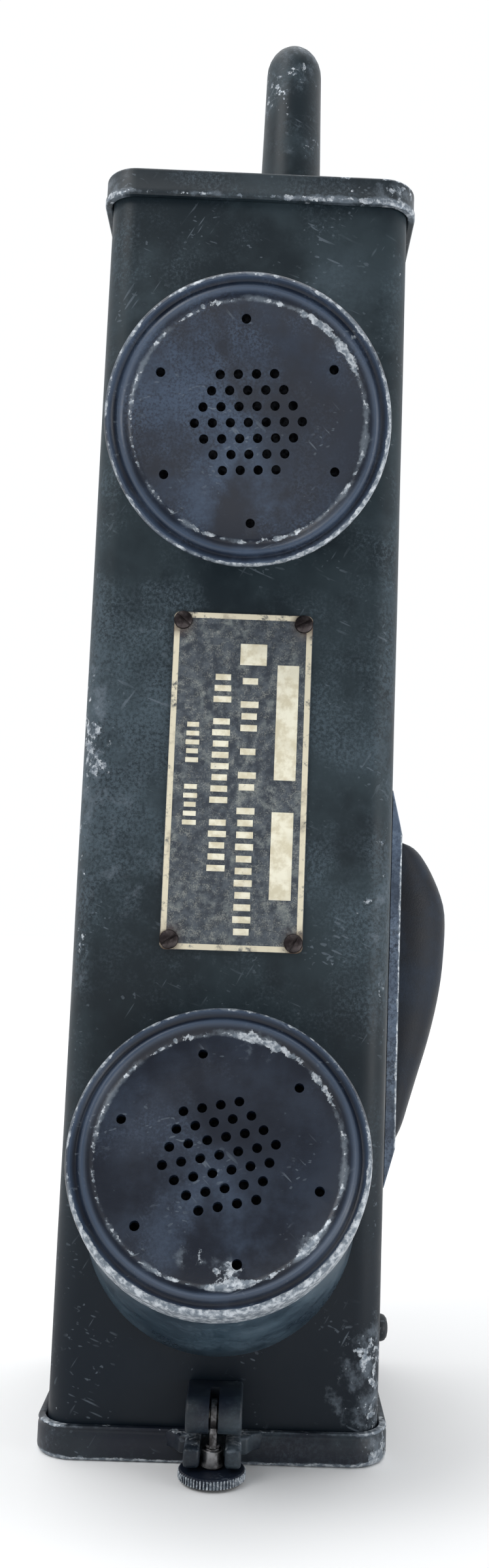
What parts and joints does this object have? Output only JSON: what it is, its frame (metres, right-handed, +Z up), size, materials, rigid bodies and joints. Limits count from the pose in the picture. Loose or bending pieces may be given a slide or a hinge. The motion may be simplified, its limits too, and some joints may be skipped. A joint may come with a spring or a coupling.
{
  "type": "walkie talkie",
  "caption": "Handheld two-way radio with a telescopic antenna under a screw cap, tilted earpiece and mouthpiece caps, a talk lever under a rubber boot and a hinged bottom cover",
  "frame": {"origin": "Centre of the bottom cover's underside, the lowest plane of the radio standing upright.", "axes": "+Z runs up the long case to the antenna. The front, with the earpiece and mouthpiece, faces -Y. The talk switch is on +X."},
  "size_m": [0.1046, 0.1441, 0.4059],
  "materials": {
    "olive_paint": "worn satin paint",
    "black_paint": "chipped crackle paint",
    "bright_steel": "plated and worn",
    "dull_steel": "tarnished",
    "brass": "tarnished",
    "rubber": "matt",
    "plate_enamel": "mottled enamel",
    "chassis_aluminium": "plain sheet",
    "bakelite": "moulded",
    "foil": "thin sheet",
    "glass": "clear",
    "card": "waxed card",
    "copper": "enamelled copper wire"
  },
  "bodies": {
    "case": {"case_shell": "olive_paint", "top_lid": "olive_paint", "lid_gasket": "rubber", "ptt_boot": "rubber", "lid_screw_1": "dull_steel", "lid_screw_2": "dull_steel", "nameplate": "plate_enamel", "ear_housing": "black_paint", "ear_cap": "black_paint", "mouth_housing": "black_paint", "mouth_cap": "black_paint", "ear_capsule": "bakelite", "mic_capsule": "bakelite", "ear_diaphragm": "foil", "mic_diaphragm": "foil", "antenna_neck": "brass", "antenna_tube": "bright_steel", "ptt_plate": "black_paint", "ptt_frame": "black_paint", "ptt_lever_pin": "bright_steel", "ptt_switch": "bakelite", "switch_spring": "bright_steel", "strap_bracket": "black_paint", "hinge_leaf": "black_paint", "hinge_pin": "bright_steel", "latch_lug": "black_paint", "latch_pin": "bright_steel", "chassis_frame": "chassis_aluminium", "if_can": "chassis_aluminium", "tank_coil": "copper", "loading_coil": "copper", "output_transformer": "dull_steel", "crystal_unit": "bakelite", "ht_battery": "card", "filament_battery": "card", "nameplate_screw_1": "dull_steel", "nameplate_screw_2": "dull_steel", "nameplate_screw_3": "dull_steel", "nameplate_screw_4": "dull_steel", "tube_1": "glass", "tube_2": "glass", "tube_3": "glass", "tube_4": "glass", "tube_5": "glass"},
    "cover": {"bottom_cover": "olive_paint", "cover_gasket": "rubber", "battery_spring_1": "bright_steel", "battery_spring_2": "bright_steel"},
    "swing_bolt": {"latch_bolt": "bright_steel"},
    "nut_collar": {"latch_collar": "bright_steel"},
    "knurled_nut": {"latch_nut": "bright_steel"},
    "antenna_1": {"antenna_section_1": "bright_steel"},
    "antenna_2": {"antenna_section_2": "bright_steel"},
    "antenna_3": {"antenna_section_3": "bright_steel"},
    "antenna_4": {"antenna_section_4": "bright_steel"},
    "cap_lift_ring": {"cap_seal": "rubber"},
    "cap": {"antenna_cap": "black_paint"},
    "talk_lever": {"ptt_lever": "dull_steel"},
    "plunger": {"switch_plunger": "brass"}
  },
  "joints": [
    {"name": "cover_hinge", "type": "hinge", "parent": "case", "child": "cover", "pos_m": [0, 0.0466, 0.0105], "axis": [1, 0, 0], "range_deg": [0, 110]},
    {"name": "latch_swing", "type": "hinge", "parent": "case", "child": "swing_bolt", "pos_m": [0.0006, -0.053, 0.015], "axis": [-1, 0, 0], "range_deg": [0, 125]},
    {"name": "nut_travel", "type": "slide", "parent": "swing_bolt", "child": "nut_collar", "axis": [0, 0, -1], "range_m": [0, 0.003]},
    {"name": "nut_turn", "type": "hinge", "parent": "nut_collar", "child": "knurled_nut", "pos_m": [0.0006, -0.053, 0.002], "axis": [0, 0, 1], "range_deg": [0, 1360]},
    {"name": "antenna_slide_1", "type": "slide", "parent": "case", "child": "antenna_1", "axis": [0, 0, 1], "range_m": [0, 0.225]},
    {"name": "antenna_slide_2", "type": "slide", "parent": "antenna_1", "child": "antenna_2", "axis": [0, 0, 1], "range_m": [0, 0.225]},
    {"name": "antenna_slide_3", "type": "slide", "parent": "antenna_2", "child": "antenna_3", "axis": [0, 0, 1], "range_m": [0, 0.225]},
    {"name": "antenna_slide_4", "type": "slide", "parent": "antenna_3", "child": "antenna_4", "axis": [0, 0, 1], "range_m": [0, 0.225]},
    {"name": "cap_lift", "type": "slide", "parent": "antenna_4", "child": "cap_lift_ring", "axis": [0, 0, 1], "range_m": [0, 0.075]},
    {"name": "cap_turn", "type": "hinge", "parent": "cap_lift_ring", "child": "cap", "pos_m": [0.0082, 0, 0.37], "axis": [0, 0, 1], "continuous": true},
    {"name": "talk_press", "type": "hinge", "parent": "case", "child": "talk_lever", "pos_m": [0.0444, 0, 0.079], "axis": [0, -1, 0], "range_deg": [0, 4], "stiffness_Nm_per_rad": 6, "springref_deg": -1.72, "deforming": ["ptt_boot"]},
    {"name": "plunger_slide", "type": "slide", "parent": "case", "child": "plunger", "axis": [-1, 0, 0], "range_m": [0, 0.0039], "deforming": ["switch_spring"]}
  ],
  "couplings": [
    {"joint": "nut_travel", "follows": "nut_turn", "m_per_rad": 0.00012633},
    {"joint": "antenna_slide_2", "follows": "antenna_slide_1", "ratio": 1},
    {"joint": "antenna_slide_3", "follows": "antenna_slide_1", "ratio": 1},
    {"joint": "antenna_slide_4", "follows": "antenna_slide_1", "ratio": 1},
    {"joint": "plunger_slide", "follows": "talk_press", "m_per_rad": 0.055}
  ]
}
